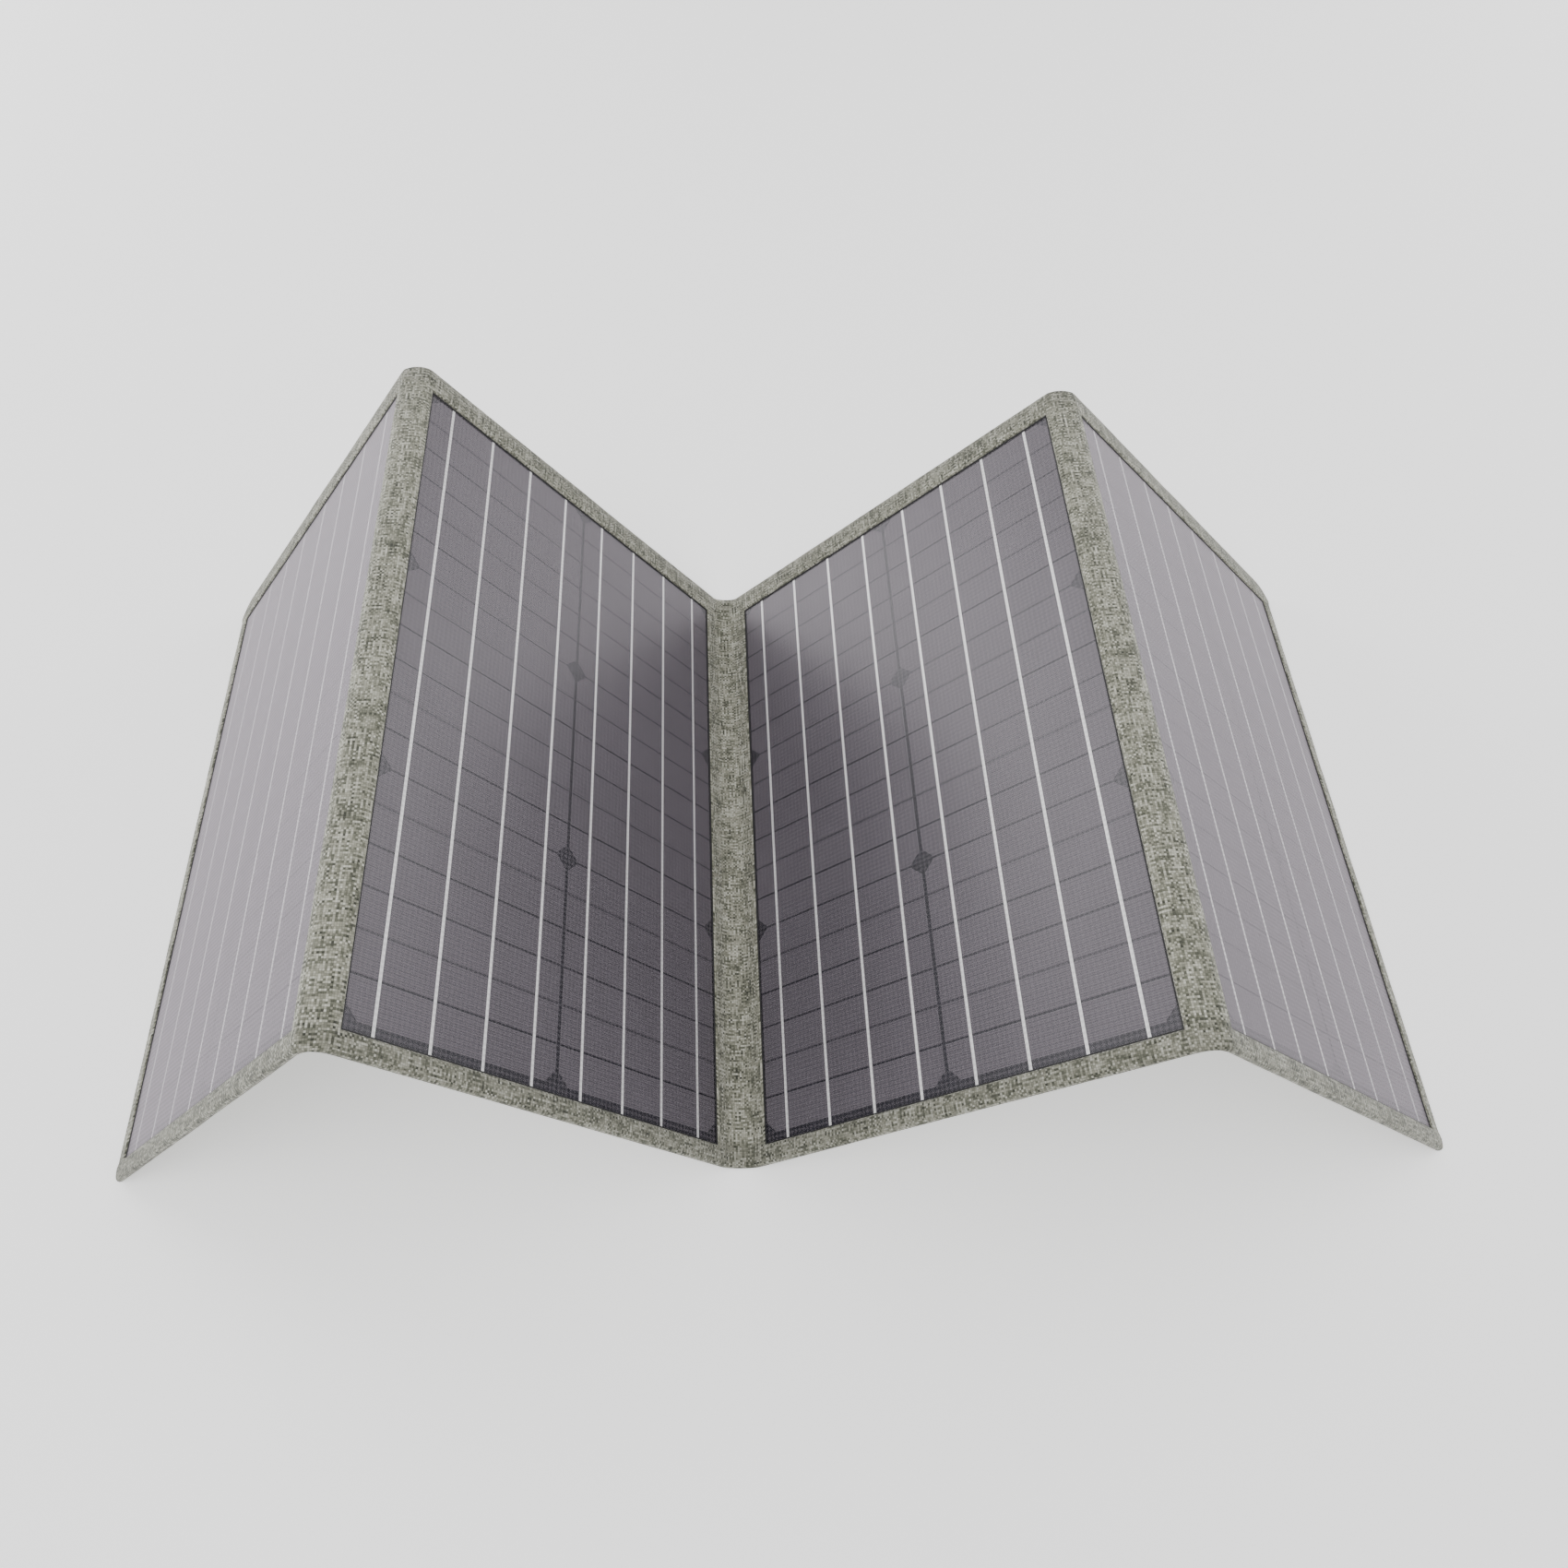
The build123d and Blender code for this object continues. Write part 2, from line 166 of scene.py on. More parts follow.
# Slot, name, dark and light shade, roughness, scale of the grain, its depth, and how metallic
PLAIN_MATERIALS = (
    ("ribbon", "tinned_ribbon", (0.86, 0.86, 0.86), (0.96, 0.96, 0.96), 0.40, 900, 0.00003, 0.1),
    ("backsheet", "black_backsheet", (0.008, 0.008, 0.013), (0.014, 0.013, 0.022), 0.5, 1800, 0.00003, 0.0),
    ("stiffener", "grey_sheet", (0.24, 0.24, 0.25), (0.32, 0.32, 0.33), 0.6, 500, 0.00005, 0.0),
    ("black_plastic", "black_moulding", (0.018, 0.018, 0.019), (0.03, 0.03, 0.031), 0.5, 1500, 0.00006, 0.0),
    ("lead_jacket", "lead_jacket", (0.014, 0.014, 0.014), (0.024, 0.024, 0.024), 0.6, 700, 0.00003, 0.0),
    ("circuit_board", "solder_resist", (0.012, 0.085, 0.040), (0.018, 0.110, 0.052), 0.35, 700, 0.00002, 0.0),
    ("potting", "potting", (0.012, 0.012, 0.012), (0.020, 0.020, 0.020), 0.3, 300, 0.00004, 0.0),
    ("screw_steel", "zinc_plate", (0.52, 0.52, 0.53), (0.64, 0.64, 0.65), 0.3, 1200, 0.00002, 1.0),
    ("seal_rubber", "seal_rubber", (0.016, 0.016, 0.016), (0.024, 0.024, 0.024), 0.8, 900, 0.00003, 0.0),
    ("thread", "sewing_thread", (0.24, 0.235, 0.19), (0.34, 0.33, 0.28), 0.8, 2500, 0.00008, 0.0),
)
CLOUD_SCALE = 60.0  # of the noise that shades plain surfaces and patches the cloth
WEAR = 0.16  # how much a plain surface's roughness varies

# Sewing
STITCH = 0.0026
STITCH_GAP = 0.0010
STITCH_SIDES = 6
STITCH_WIDTH = 0.0007
STITCH_INSET = 0.0075  # from the edge of a board to the row of stitches on its back
STITCH_ARCH = ((-0.5, -0.2), (-0.32, 0.75), (0.0, 1.0), (0.32, 0.75), (0.5, -0.2))  # share of length, level
STITCH_SINK = 0.4  # how far the thread beds into the cloth, in radii of the thread
STITCH_FLATNESS = 0.55  # the thread's height against its width

nodes = frame["nodes"]
joint_at = {j["name"]: Vector(j["pos_m"]) for j in frame["joints"]}


# Camera, light and floor


def make_camera():
    camera = bpy.data.objects.new("camera", bpy.data.cameras.new("camera"))
    bpy.context.scene.collection.objects.link(camera)
    back = -Vector(CAMERA_LOOKS).normalized()
    right = Vector(CAMERA_RIGHT).normalized()
    up = back.cross(right).normalized()
    turn = Matrix((up.cross(back), up, back)).transposed()
    camera.matrix_world = Matrix.Translation(CAMERA_AT) @ turn.to_4x4()
    camera.data.lens = LENS
    camera.data.sensor_width = 36
    camera.data.shift_x, camera.data.shift_y = SHIFT
    camera.data.clip_start = 0.01
    bpy.context.scene.camera = camera


def area_light(name, place, target, size, power):
    light = bpy.data.objects.new(name, bpy.data.lights.new(name, "AREA"))
    light.data.shape = "DISK"
    light.data.size = size
    light.data.energy = power
    light.location = place
    light.rotation_mode = "QUATERNION"
    light.rotation_quaternion = (Vector(target) - Vector(place)).to_track_quat("-Z", "Y")
    bpy.context.scene.collection.objects.link(light)


def make_light():
    world = bpy.data.worlds.new("studio")
    world.use_nodes = True
    world.node_tree.nodes["Background"].inputs["Color"].default_value = (1, 1, 1, 1)
    world.node_tree.nodes["Background"].inputs["Strength"].default_value = WORLD_LIGHT
    bpy.context.scene.world = world
    for lamp in LAMPS:
        area_light(*lamp)


def make_floor():
    mesh = bpy.data.meshes.new("floor")
    shape = bmesh.new()
    bmesh.ops.create_grid(shape, x_segments=1, y_segments=1, size=FLOOR_REACH)
    shape.to_mesh(mesh)
    shape.free()
    floor = bpy.data.objects.new("floor", mesh)
    bpy.context.scene.collection.objects.link(floor)
    material, tree, shader = new_material("floor")
    shader.inputs["Base Color"].default_value = (FLOOR_SHADE, FLOOR_SHADE, FLOOR_SHADE, 1)
    shader.inputs["Roughness"].default_value = 0.9
    shader.inputs["Emission Color"].default_value = (1, 1, 1, 1)
    shader.inputs["Emission Strength"].default_value = FLOOR_GLOW
    mesh.materials.append(material)


# Material building blocks


def new_material(name):
    material = bpy.data.materials.new(name)
    material.use_nodes = True
    tree = material.node_tree
    return material, tree, tree.nodes["Principled BSDF"]


def math_node(tree, operation, first, second=None, third=None):
    node = tree.nodes.new("ShaderNodeMath")
    node.operation = operation
    for socket, value in zip(node.inputs, (first, second, third)):
        feed(tree, socket, value)
    return node.outputs[0]


def feed(tree, socket, value):
    """Link an output to a socket, or set a plain value."""
    if value is None:
        return
    if isinstance(value, bpy.types.NodeSocket):
        tree.links.new(value, socket)
    else:
        socket.default_value = value


def combine(tree, x, y, z=0.0):
    node = tree.nodes.new("ShaderNodeCombineXYZ")
    for socket, value in zip(node.inputs, (x, y, z)):
        feed(tree, socket, value)
    return node.outputs[0]


def separate(tree, vector):
    node = tree.nodes.new("ShaderNodeSeparateXYZ")
    tree.links.new(vector, node.inputs[0])
    return node.outputs


def noise_node(tree, vector, scale, detail=2.0, roughness=0.5):
    node = tree.nodes.new("ShaderNodeTexNoise")
    tree.links.new(vector, node.inputs["Vector"])
    node.inputs["Scale"].default_value = scale
    node.inputs["Detail"].default_value = detail
    node.inputs["Roughness"].default_value = roughness
    return node.outputs["Fac"]


def ramp(tree, value, stops):
    node = tree.nodes.new("ShaderNodeValToRGB")
    feed(tree, node.inputs["Fac"], value)
    elements = node.color_ramp.elements
    while len(elements) < len(stops):
        elements.new(0.5)
    for element, (place, colour) in zip(elements, stops):
        element.position = place
        element.color = (*colour, 1)
    return node.outputs["Color"]


def mix_colour(tree, amount, first, second, blend="MIX"):
    node = tree.nodes.new("ShaderNodeMix")
    node.data_type = "RGBA"
    node.blend_type = blend
    feed(tree, node.inputs["Factor"], amount)
    feed(tree, node.inputs[6], first if isinstance(first, bpy.types.NodeSocket) else (*first, 1))
    feed(tree, node.inputs[7], second if isinstance(second, bpy.types.NodeSocket) else (*second, 1))
    return node.outputs[2]


def mix_value(tree, amount, first, second):
    node = tree.nodes.new("ShaderNodeMix")
    feed(tree, node.inputs["Factor"], amount)
    feed(tree, node.inputs[2], first)
    feed(tree, node.inputs[3], second)
    return node.outputs[0]


def bump(tree, shader, height, distance, strength=1.0):
    node = tree.nodes.new("ShaderNodeBump")
    node.inputs["Distance"].default_value = distance
    node.inputs["Strength"].default_value = strength
    tree.links.new(height, node.inputs["Height"])
    tree.links.new(node.outputs[0], shader.inputs["Normal"])


def object_place(tree):
    return tree.nodes.new("ShaderNodeTexCoord").outputs["Object"]


def board_place(tree, number):
    """Coordinates across the board, along the folds and out of its face, in metres."""
    across, along, out = board_axes(number)
    turn = Matrix((across, along, out)).to_euler()
    node = tree.nodes.new("ShaderNodeMapping")
    node.vector_type = "POINT"
    node.inputs["Rotation"].default_value = turn
    tree.links.new(object_place(tree), node.inputs["Vector"])
    return node.outputs["Vector"]


# Materials


def thread_shade(tree, index, length, seed):
    """The colour value of one thread: its own shade, with slubs along it."""
    beside = math_node(tree, "MULTIPLY", index, SLUB_DRIFT)
    onward = math_node(tree, "MULTIPLY", length, SLUB_STRETCH)
    return noise_node(tree, combine(tree, beside, onward, seed), 1.0, 3.0, 0.65)


def painted_hem_shade(tree):
    """How light the cloth is, with painted shade at the hems: 1 away from its near and far ends, and the
    hem's painted shade at them.
    """
    _, along, _ = separate(tree, object_place(tree))
    reach = math_node(tree, "ABSOLUTE", along)
    rise = math_node(tree, "MULTIPLY_ADD", reach, 1 / HEM_BLEND, -HEM_STARTS / HEM_BLEND)
    inside = math_node(tree, "MINIMUM", math_node(tree, "MAXIMUM", rise, 0.0), 1.0)
    return math_node(tree, "MULTIPLY_ADD", inside, PAINTED_HEM_SHADE - 1, 1.0)


def weave_material():
    """Plain weave of melange threads, light and dark along their length."""
    material, tree, shader = new_material("melange_cloth")
    place = tree.nodes.new("ShaderNodeUVMap")
    place.uv_map = "weave"
    x, y, _ = separate(tree, place.outputs[0])
    across = math_node(tree, "DIVIDE", x, THREAD)
    along = math_node(tree, "DIVIDE", y, THREAD)
    column = math_node(tree, "FLOOR", across)
    row = math_node(tree, "FLOOR", along)
    warp = thread_shade(tree, column, along, WARP_SEED)
    weft = thread_shade(tree, row, across, WEFT_SEED)
    over = math_node(tree, "PINGPONG", math_node(tree, "ADD", column, row), 1.0)
    shade = mix_value(tree, over, warp, weft)
    patches = noise_node(tree, place.outputs[0], CLOUD_SCALE, 2.0)
    drift = math_node(tree, "MULTIPLY_ADD", patches, PATCHES, -PATCHES / 2)
    shade = math_node(tree, "ADD", shade, drift)
    colour = ramp(tree, shade, CLOTH_SHADES)
    round_warp = math_node(tree, "PINGPONG", math_node(tree, "MULTIPLY", across, 2.0), 1.0)
    round_weft = math_node(tree, "PINGPONG", math_node(tree, "MULTIPLY", along, 2.0), 1.0)
    height = mix_value(tree, over, round_warp, round_weft)
    # painted shade: the colour is darkened in the gaps between threads and left lighter at their middles
    gaps = math_node(tree, "MULTIPLY", round_warp, round_weft)
    dark = math_node(tree, "MULTIPLY_ADD", math_node(tree, "POWER", gaps, 0.5), THREAD_ROUND, THREAD_GAP_SHADE)
    # painted shade: the cloth darkened towards its near and far hems
    dark = math_node(tree, "MULTIPLY", dark, painted_hem_shade(tree))
    colour = mix_colour(tree, 1.0, colour, combine(tree, dark, dark, dark), "MULTIPLY")
    tree.links.new(colour, shader.inputs["Base Color"])
    shader.inputs["Roughness"].default_value = 0.93
    shader.inputs["Sheen Weight"].default_value = 0.25
    shader.inputs["Sheen Roughness"].default_value = 0.5
    shader.inputs["Specular IOR Level"].default_value = 0.25
    bump(tree, shader, height, THREAD_HEIGHT, 0.8)
    return material


def cell_material(number):
    """Silicon with its fine printed fingers, a little different from strip to strip."""
    material, tree, shader = new_material(f"silicon_{number}")
    place = board_place(tree, number)
    across, along, _ = separate(tree, place)
    finger = math_node(tree, "PINGPONG", along, FINGER_HALF_PITCH)
    line = math_node(tree, "LESS_THAN", finger, FINGER_HALF_WIDTH)
    strips = noise_node(tree, combine(tree, math_node(tree, "MULTIPLY", across, 3.0), along), 14.0, 1.0)
    cloud = noise_node(tree, place, 9.0, 3.0)
    mottled = math_node(tree, "MULTIPLY_ADD", cloud, 0.6, math_node(tree, "MULTIPLY", strips, 0.4))
    colour = ramp(tree, mottled, CELL_SHADES)
    fingers = mix_colour(tree, math_node(tree, "MULTIPLY", line, FINGER_SHOWS), colour, FINGER_COLOUR)
    tree.links.new(fingers, shader.inputs["Base Color"])
    shader.inputs["Roughness"].default_value = 0.5
    shader.inputs["Specular IOR Level"].default_value = 0.2
    grain = noise_node(tree, place, 2600.0, 1.0)
    bump(tree, shader, grain, CELL_RELIEF, 0.5)
    return material


def emboss(tree, place):
    """The film's fine emboss: rows of small dimples, 0 to 1."""
    across, along, _ = separate(tree, place)
    diagonals = [math_node(tree, operation, across, along) for operation in ("ADD", "SUBTRACT")]
    ripples = [
        math_node(tree, "SINE", math_node(tree, "MULTIPLY", one, 2 * math.pi / DIMPLE_PITCH))
        for one in diagonals
    ]
    return math_node(tree, "MULTIPLY_ADD", math_node(tree, "MULTIPLY", *ripples), 0.5, 0.5)


def film_material(number):
    """Clear embossed film: nearly clear from above, pale and glossy at a slant."""
    material, tree, shader = new_material(f"film_{number}")
    place = board_place(tree, number)
    dimples = emboss(tree, place)
    relief = tree.nodes.new("ShaderNodeBump")
    relief.inputs["Distance"].default_value = DIMPLE_RELIEF
    relief.inputs["Strength"].default_value = 0.5
    tree.links.new(dimples, relief.inputs["Height"])
    clear = tree.nodes.new("ShaderNodeBsdfTransparent")
    haze = tree.nodes.new("ShaderNodeBsdfDiffuse")
    haze.inputs["Color"].default_value = HAZE_COLOUR
    gloss = tree.nodes.new("ShaderNodeBsdfAnisotropic")
    gloss.inputs["Roughness"].default_value = GLOSS_ROUGHNESS
    gloss.inputs["Color"].default_value = GLOSS_COLOUR
    tree.links.new(relief.outputs[0], gloss.inputs["Normal"])
    slant = tree.nodes.new("ShaderNodeLayerWeight")
    slant.inputs["Blend"].default_value = 0.5
    cloudy = math_node(tree, "POWER", slant.outputs["Facing"], HAZE_BEND)
    speckle = math_node(tree, "MULTIPLY_ADD", dimples, *DIMPLE_HAZE)
    share = math_node(tree, "MULTIPLY_ADD", cloudy, HAZE_AT_SLANT, speckle)
    milky = tree.nodes.new("ShaderNodeMixShader")
    tree.links.new(share, milky.inputs[0])
    tree.links.new(clear.outputs[0], milky.inputs[1])
    tree.links.new(haze.outputs[0], milky.inputs[2])
    mirror = tree.nodes.new("ShaderNodeFresnel")
    mirror.inputs["IOR"].default_value = FILM_IOR
    coat = tree.nodes.new("ShaderNodeMixShader")
    tree.links.new(math_node(tree, "MULTIPLY_ADD", mirror.outputs[0], *GLOSS_SHARE), coat.inputs[0])
    tree.links.new(milky.outputs[0], coat.inputs[1])
    tree.links.new(gloss.outputs[0], coat.inputs[2])
    tree.links.new(coat.outputs[0], tree.nodes["Material Output"].inputs["Surface"])
    tree.nodes.remove(shader)
    return material


def plain_material(name, dark, light, roughness, grain, depth, metallic):
    """A moulded, painted or drawn surface: two close shades and a fine grain."""
    material, tree, shader = new_material(name)
    place = object_place(tree)
    cloud = noise_node(tree, place, CLOUD_SCALE, 3.0)
    tree.links.new(ramp(tree, cloud, ((0.3, dark), (0.7, light))), shader.inputs["Base Color"])
    worn = math_node(tree, "MULTIPLY_ADD", cloud, WEAR, roughness - WEAR / 2)
    tree.links.new(worn, shader.inputs["Roughness"])
    shader.inputs["Metallic"].default_value = metallic
    bump(tree, shader, noise_node(tree, place, grain, 2.0), depth, 0.6)
    return material


def make_plain_materials():
    return {slot: plain_material(*look) for slot, *look in PLAIN_MATERIALS}


# Where the boards are


def board_axes(number):
    """Unit steps across a board, along the folds and out of its lit face."""
    film = nodes[f"panel_{number}_cover_film"].data
    face = max(film.polygons, key=lambda p: p.area * (p.normal.z > 0))
    out = face.normal.normalized()
    along = Vector((0, 1, 0))
    return along.cross(out), along, out


def board_box(number, piece):
    """Lowest and highest coordinates of one of a board's nodes, in the board's own directions."""
    steps = board_axes(number)
    places = [[v.co.dot(step) for step in steps] for v in nodes[f"panel_{number}_{piece}"].data.vertices]
    return [min(c) for c in zip(*places)], [max(c) for c in zip(*places)]


class Board:
    """A board's measures, read from its CAD nodes."""

    def __init__(self, number):
        self.number = number
        self.body = f"panel_{number}"
        self.axes = board_axes(number)
        low, high = board_box(number, "front_fabric")
        rear_low, _ = board_box(number, "rear_fabric")
        film_low, film_high = board_box(number, "cover_film")
        self.left, self.near = low[0], low[1]
        self.right, self.far, self.top = high
        self.bottom = rear_low[2]
        self.film = film_high[2]
        self.window_left = film_low[0] + LAMINATE_UNDER_CLOTH
        self.window_near = film_low[1] + LAMINATE_UNDER_CLOTH
        self.window_right = film_high[0] - LAMINATE_UNDER_CLOTH
        self.window_far = film_high[1] - LAMINATE_UNDER_CLOTH
        self.free_left = number == BOARDS[0]
        self.free_right = number == BOARDS[-1]

    def at(self, across, along, out):
        return self.axes[0] * across + self.axes[1] * along + self.axes[2] * out


boards = {number: Board(number) for number in BOARDS}


# Cloth: each board and each half of a fold is a sleeve of rings. A ring starts at the near hem, goes
# over the front to the far hem, round it and back underneath. A sleeve is closed along a free edge
# and left open where the next piece's sleeve takes over from it.


def steps_between(a, b, count):
    """count places from a up to but not including b."""
    return [a + (b - a) * i / count for i in range(count)]


def ring_profile(near, far, window_near, window_far, top, bottom):
    """(along, out) places round a ring, with the hem's half-round turns."""
    middle, half = (top + bottom) / 2, (top - bottom) / 2
    swell = [HEM_CROWN * math.sin(math.pi * i / HEM_STEPS) for i in range(HEM_STEPS)]
    near_hem = steps_between(near + half, window_near, HEM_STEPS)
    far_hem = steps_between(window_far, far - half, HEM_STEPS)
    places = [(a, top + rise) for a, rise in zip(near_hem, swell)]
    places += [(a, top) for a in steps_between(window_near, window_far, ALONG_STEPS)]
    places += [(a, top + rise) for a, rise in zip(far_hem, swell)]
    for i in range(ROLL_STEPS):
        angle = math.pi * i / ROLL_STEPS
        places.append((far - half + half * math.sin(angle), middle + half * math.cos(angle)))
    places += [(a, bottom) for a in steps_between(far - half, window_far, HEM_STEPS)]
    places += [(a, bottom) for a in steps_between(window_far, window_near, ALONG_STEPS)]
    places += [(a, bottom) for a in steps_between(window_near, near + half, HEM_STEPS)]
    for i in range(ROLL_STEPS):
        angle = math.pi * i / ROLL_STEPS
        places.append((near + half - half * math.sin(angle), middle - half * math.cos(angle)))
    return places


WINDOW_ROWS = range(HEM_STEPS, HEM_STEPS + ALONG_STEPS)


def corner_inset(distance, radius):
    """How far a rounded corner draws an end in, at a distance from the free edge."""
    if distance >= radius:
        return 0.0
    return radius - math.sqrt(max(0.0, radius ** 2 - (radius - distance) ** 2))


def board_stations(board):
    """(across, distance from the free edge, share of the thickness) of each ring of a board."""
    half = (board.top - board.bottom) / 2
    left = board.left if board.free_left else board.left - EDGE_GAP + SEAM_BACK
    right = board.right if board.free_right else board.right + EDGE_GAP - SEAM_BACK
    places = []
    if board.free_left:
        places += free_edge(left, 1, half)
    inner_left = left + half if board.free_left else left
    inner_right = right - half if board.free_right else right
    for a in steps_between(inner_left, board.window_left, HEM_STEPS + FREE_EDGE_RINGS * board.free_left):
        places.append((a, a - left if board.free_left else 1.0, 1.0))
    for a in steps_between(board.window_left, board.window_right, ACROSS_STEPS):
        places.append((a, far_from_edge(board, a), 1.0))
    for a in steps_between(board.window_right, inner_right, HEM_STEPS + FREE_EDGE_RINGS * board.free_right):
        places.append((a, right - a if board.free_right else 1.0, 1.0))
    places.append((inner_right, right - inner_right if board.free_right else 1.0, 1.0))
    if board.free_right:
        places += free_edge(right, -1, half)[::-1]
    return places


def far_from_edge(board, across):
    if board.free_left:
        return across - board.left
    return board.right - across if board.free_right else 1.0


def free_edge(edge, side, half):
    """Stations of the half-round turn at a free edge."""
    places = []
    for i in range(ROLL_STEPS):
        angle = math.pi / 2 * (i + FREE_EDGE_START) / ROLL_STEPS
        inward = half * (1 - math.cos(angle))
        places.append((edge + side * inward, inward, math.sin(angle)))
    return places


def wave(point):
    """A gentle unevenness of sewn cloth, the same wherever two pieces meet."""
    return WAVE_HEIGHT * noise.noise(point / WAVE_SIZE)


def add_ring(shape, places):
    return [shape.verts.new(place) for place in places]


def join_rings(shape, rings, uv, lengths, skip=()):
    """Faces between neighbouring rings, with the weave's coordinates."""
    for i in range(len(rings) - 1):
        around = len(rings[i])
        for j in range(around):
            if (i, j) in skip:
                continue
            k = (j + 1) % around
            corners = (rings[i][j], rings[i + 1][j], rings[i + 1][k], rings[i][k])
            face = shape.faces.new(corners)
            face.smooth = True
            high = j + 1
            values = ((i, j), (i + 1, j), (i + 1, high), (i, high))
            for loop, (s, t) in zip(face.loops, values):
                loop[uv].uv = (lengths[s], girth[t])


def ring_girth(board):
    """Distance round a full ring from its start, for the weave."""
    places = ring_profile(
        board.near, board.far, board.window_near, board.window_far, board.top, board.bottom
    )
    total, lengths = 0.0, [0.0]
    for i, place in enumerate(places):
        after = places[(i + 1) % len(places)]
        total += math.dist(place, after)
        lengths.append(total)
    return lengths


girth = ring_girth(boards[1])


def finish_piece(name, shape, materials, body=None):
    mesh = bpy.data.meshes.new(name)
    bmesh.ops.recalc_face_normals(shape, faces=shape.faces)
    shape.to_mesh(mesh)
    shape.free()
    piece = bpy.data.objects.new(name, mesh)
    bpy.context.scene.collection.objects.link(piece)
    for material in materials:
        mesh.materials.append(material)
    if body:
        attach(piece, body)
    return piece


def board_ring(board, across, distance, share):
    middle, half = (board.top + board.bottom) / 2, (board.top - board.bottom) / 2
    near = board.near + corner_inset(distance, CORNER_NEAR)
    far = board.far - corner_inset(distance, CORNER_FAR)
    profile = ring_profile(
        near, far, board.window_near, board.window_far, middle + half * share, middle - half * share
    )
    return [(across, along, out) for along, out in profile]


def make_board_cloth(board, start):
    """One board's cloth with its window, as a sleeve, and the length of cloth up to its end."""
    shape = bmesh.new()
    uv = shape.loops.layers.uv.new("weave")
    stations = board_stations(board)
    rings, lengths = [], []
    for across, distance, share in stations:
        places = []
        for a, along, out in board_ring(board, across, distance, share):
            point = board.at(a, along, out)
            side = 1 if out > (board.top + board.bottom) / 2 else -1
            places.append(point + board.axes[2] * side * wave(point))
        rings.append(add_ring(shape, places))
        lengths.append(start + across - stations[0][0])
    inside = [
        i
        for i, (a, _, _) in enumerate(stations)
        if board.window_left - SAME_PLACE <= a < board.window_right - SAME_PLACE
    ]
    skip = {(i, j) for i in inside for j in WINDOW_ROWS}
    join_rings(shape, rings, uv, lengths, skip)
    close_free_edges(shape, board, rings)
    turn_lip(shape, uv, board)
    piece = finish_piece(f"board_{board.number}_cloth", shape, [cloth], board.body)
    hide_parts(f"panel_{board.number}_front_fabric", f"panel_{board.number}_rear_fabric")
    return lengths[-1]


def close_free_edges(shape, board, rings):
    """Close the thin open end of the sleeve at a free edge."""
    for ring in [rings[0]] * board.free_left + [rings[-1]] * board.free_right:
        half = len(ring) // 2
        front = ring[: half + 1]
        back = [ring[0]] + ring[: half - 1 : -1]
        for a, b, c, d in zip(front, front[1:], back[1:], back):
            corners = []
            for v in (a, b, c, d):
                if v not in corners:
                    corners.append(v)
            if len(corners) > 2 and not shape.faces.get(corners):
                face = shape.faces.new(corners)
                face.smooth = True


def turn_lip(shape, uv, board):
    """Turn the window's edge down onto the film, with a small round."""
    edge = [e for e in shape.edges if e.is_boundary and on_window(board, e)]
    drop = board.top - board.film + LIP_SINK
    for inward, share in LIP_TURN:
        made = bmesh.ops.extrude_edge_only(shape, edges=edge)["geom"]
        for v in [g for g in made if isinstance(g, bmesh.types.BMVert)]:
            across = drawn_in(v.co.dot(board.axes[0]), board.window_left, board.window_right, inward)
            along = drawn_in(v.co.dot(board.axes[1]), board.window_near, board.window_far, inward)
            v.co = board.at(across, along, board.top - drop * share)
        edge = [g for g in made if isinstance(g, bmesh.types.BMEdge) and g.is_boundary]
        for face in [g for g in made if isinstance(g, bmesh.types.BMFace)]:
            face.smooth = True
            for loop in face.loops:
                across, along, out = [loop.vert.co.dot(axis) for axis in board.axes]
                loop[uv].uv = (across, along + out)


def drawn_in(value, low, high, inward):
    """A coordinate on a side of the window, moved inward from that side."""
    if near_side(value, low):
        return low + inward
    return high - inward if near_side(value, high) else value


def near_side(value, side):
    return abs(value - side) < LIP_REACH


def on_window(board, edge):
    for v in edge.verts:
        across, along = v.co.dot(board.axes[0]), v.co.dot(board.axes[1])
        if not board.window_left - ON_WINDOW < across < board.window_right + ON_WINDOW:
            return False
        if not board.window_near - ON_WINDOW < along < board.window_far + ON_WINDOW:
            return False
    return True


def bezier(a, b, c, d, t):
    return a * (1 - t) ** 3 + b * 3 * t * (1 - t) ** 2 + c * 3 * t ** 2 * (1 - t) + d * t ** 3


